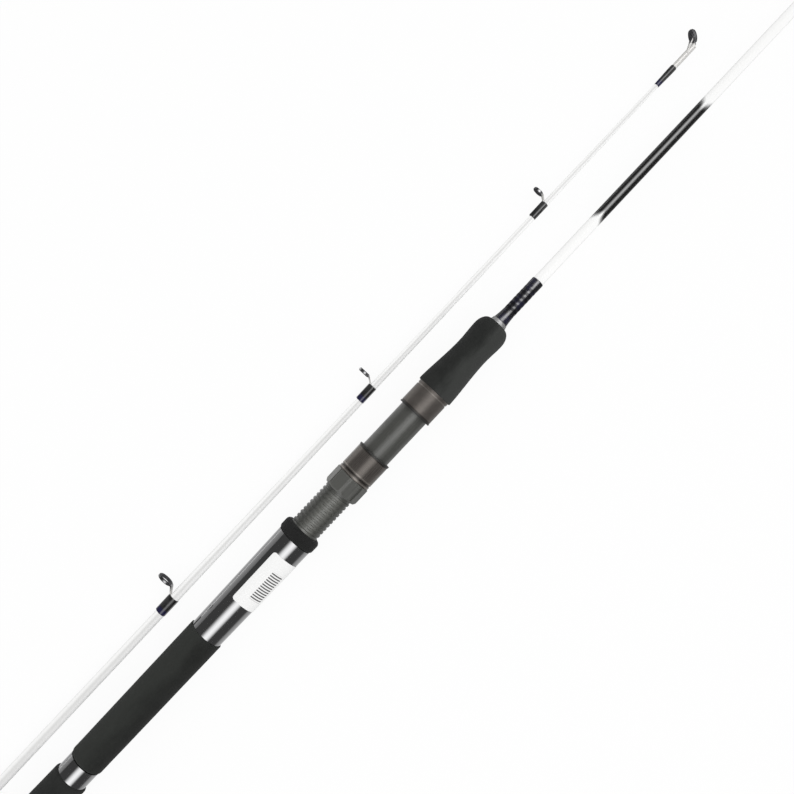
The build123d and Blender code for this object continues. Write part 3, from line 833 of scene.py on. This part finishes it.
def make_world():
    """Surroundings that look white and light the object a little less brightly."""
    world = bpy.data.worlds.new("studio")
    bpy.context.scene.world = world
    world.use_nodes = True
    tree = world.node_tree
    grey = tree.nodes["Background"]
    grey.inputs["Color"].default_value = (WORLD_GREY, WORLD_GREY, WORLD_GREY, 1)
    white = tree.nodes.new("ShaderNodeBackground")
    white.inputs["Color"].default_value = (1, 1, 1, 1)
    blend_shaders(tree, seen_rays(tree), grey, white, "World Output")


# Studio cards, in metres: a card's stops are its levels at places along Y

CARD_STRENGTH = 0.4
CARD_REAR, CARD_FRONT = -2.6, 2.6
CARD_RIGHT, CARD_LEFT = -2.4, 2.2
CARD_TOP = 1.0
EVEN_REACH = 0.1
FLAG = 0.068
LEFT_GREY, LEFT_GREY_TOP = 0.26, 0.45
WINDING_REAR, WINDING_FRONT = 0.2, 0.425
WINDING_GAIN = 2.3
FLOOR_CARD_Z = FLOOR_Z + 0.5 * MM
FLOOR_REAR, FLOOR_SEAT, FLOOR_FRONT = (-1.2, -0.075), (-0.075, 0.095), (0.095, 0.6)
HANDLE_STOPS = [
    (CARD_RIGHT, FLAG),
    (-0.90, FLAG),
    (-0.78, 0.25),
    (-0.50, 1.25),
    (-0.23, 1.66),
    (0.0, 1.35),
    (0.22, 0.45),
    (0.36, FLAG),
    (CARD_LEFT, FLAG),
]
WINDING_STOPS = [(y, WINDING_GAIN * level) for y, level in HANDLE_STOPS]
BLANK_STOPS = [
    (CARD_RIGHT, FLAG),
    (-0.8, FLAG),
    (-0.62, 0.3),
    (-0.35, 1.3),
    (0.04, 2.6),
    (0.4, 1.3),
    (0.66, 0.3),
    (0.85, FLAG),
    (CARD_LEFT, FLAG),
]
FLOOR_RIGHT_STOPS = [(CARD_RIGHT, 0.07), (-0.16, 0.09), (-0.03, 0.5), (-0.002, 0.9)]
FLOOR_LEFT_STOPS = [(0.002, 0.9), (0.03, 0.45), (0.15, 0.32), (CARD_LEFT, 0.28)]
FRONT_RIGHT_STOPS = [(CARD_RIGHT, 0.05), (-0.16, 0.06), (-0.03, 0.15), (-0.002, 0.5)]
FRONT_LEFT_STOPS = [(0.002, 0.5), (0.03, 0.18), (0.15, 0.12), (CARD_LEFT, 0.10)]


def make_card(name, corners, stops):
    """Card that only shows in reflections."""
    card = plain_plane(name, corners)
    card.visible_camera = False
    card.visible_diffuse = False
    card.visible_shadow = False
    card.visible_transmission = False
    tree = card.data.materials[0].node_tree
    place = tree.nodes.new("ShaderNodeTexCoord")
    split = tree.nodes.new("ShaderNodeSeparateXYZ")
    share = tree.nodes.new("ShaderNodeMapRange")
    y_low, y_high = stops[0][0], stops[-1][0]
    share.inputs["From Min"].default_value = y_low
    share.inputs["From Max"].default_value = y_high
    ramp = tree.nodes.new("ShaderNodeValToRGB")
    bands = ramp.color_ramp.elements
    for y, level in stops[1:-1]:
        bands.new((y - y_low) / (y_high - y_low))
    top = max(level for y, level in stops)
    for band, (y, level) in zip(bands, stops):
        band.color = (level / top, level / top, level / top, 1)
    gain = tree.nodes.new("ShaderNodeVectorMath")
    gain.operation = "SCALE"
    gain.inputs["Scale"].default_value = top / CARD_STRENGTH
    glow = tree.nodes.new("ShaderNodeEmission")
    glow.inputs["Strength"].default_value = CARD_STRENGTH
    tree.links.new(place.outputs["Object"], split.inputs[0])
    tree.links.new(split.outputs["Y"], share.inputs["Value"])
    tree.links.new(share.outputs[0], ramp.inputs[0])
    tree.links.new(ramp.outputs[0], gain.inputs[0])
    tree.links.new(gain.outputs[0], glow.inputs["Color"])
    tree.links.new(glow.outputs[0], tree.nodes["Material Output"].inputs["Surface"])


def level_card(name, height, ends, stops):
    make_card(name, level_corners(*ends, stops[0][0], stops[-1][0], height), stops)


def upright_card(name, y, level, bottom, top):
    corners = [
        (CARD_REAR, y, bottom),
        (CARD_FRONT, y, bottom),
        (CARD_FRONT, y, top),
        (CARD_REAR, y, top),
    ]
    make_card(name, corners, [(y - EVEN_REACH, level), (y + EVEN_REACH, level)])


def make_cards():
    """Overhead soft panel between dark flags, a dark wall, a wall that is grey below, and a floor."""
    level_card("card_over_handle", CARD_TOP, (CARD_REAR, WINDING_REAR), HANDLE_STOPS)
    level_card("card_over_winding", CARD_TOP, (WINDING_REAR, WINDING_FRONT), WINDING_STOPS)
    level_card("card_over_blank", CARD_TOP, (WINDING_FRONT, CARD_FRONT), BLANK_STOPS)
    upright_card("card_right", CARD_RIGHT, FLAG, FLOOR_Z, CARD_TOP)
    upright_card("card_left", CARD_LEFT, LEFT_GREY, FLOOR_Z, LEFT_GREY_TOP)
    upright_card("card_left_top", CARD_LEFT, FLAG, LEFT_GREY_TOP, CARD_TOP)
    level_card("card_floor_right_rear", FLOOR_CARD_Z, FLOOR_REAR, FLOOR_RIGHT_STOPS)
    level_card("card_floor_right_seat", FLOOR_CARD_Z, FLOOR_SEAT, FLOOR_RIGHT_STOPS)
    level_card("card_floor_left_rear", FLOOR_CARD_Z, FLOOR_REAR, FLOOR_LEFT_STOPS)
    level_card("card_floor_right_front", FLOOR_CARD_Z, FLOOR_FRONT, FRONT_RIGHT_STOPS)
    level_card("card_floor_left_front", FLOOR_CARD_Z, FLOOR_FRONT, FRONT_LEFT_STOPS)


# Lamp and camera

LAMP_PLACE = 0, -0.25, 1.2
LAMP_SIZE = 2.4, 0.95
LAMP_WATTS = 5.7
SENSOR_MM, LENS_MM = 36.0, 45.34
CAMERA_PLACE = 18.2 * MM, 15.0 * MM, 640 * MM
CAMERA_TURN = math.radians(-46.745)
CLIP = 0.01, 100


def make_lamp():
    """Softbox that lights the object and shows neither in the picture nor in reflections."""
    data = bpy.data.lights.new("softbox", "AREA")
    data.shape = "RECTANGLE"
    data.size, data.size_y = LAMP_SIZE
    data.energy = LAMP_WATTS
    lamp = bpy.data.objects.new("softbox", data)
    lamp.location = LAMP_PLACE
    lamp.rotation_euler = (-Vector(LAMP_PLACE)).to_track_quat("-Z", "Y").to_euler()
    lamp.visible_camera = False
    lamp.visible_glossy = False
    bpy.context.scene.collection.objects.link(lamp)


def make_camera():
    """Camera straight above the rod, turned so that the rod lies from corner to corner."""
    data = bpy.data.cameras.new("camera")
    data.sensor_width = SENSOR_MM
    data.lens = LENS_MM
    data.clip_start, data.clip_end = CLIP
    camera = bpy.data.objects.new("camera", data)
    camera.location = CAMERA_PLACE
    camera.rotation_euler = (0, 0, CAMERA_TURN)
    bpy.context.scene.collection.objects.link(camera)
    bpy.context.scene.camera = camera


make_floor()
make_world()
make_cards()
make_lamp()
make_camera()
bpy.context.scene.view_settings.view_transform = "Standard"
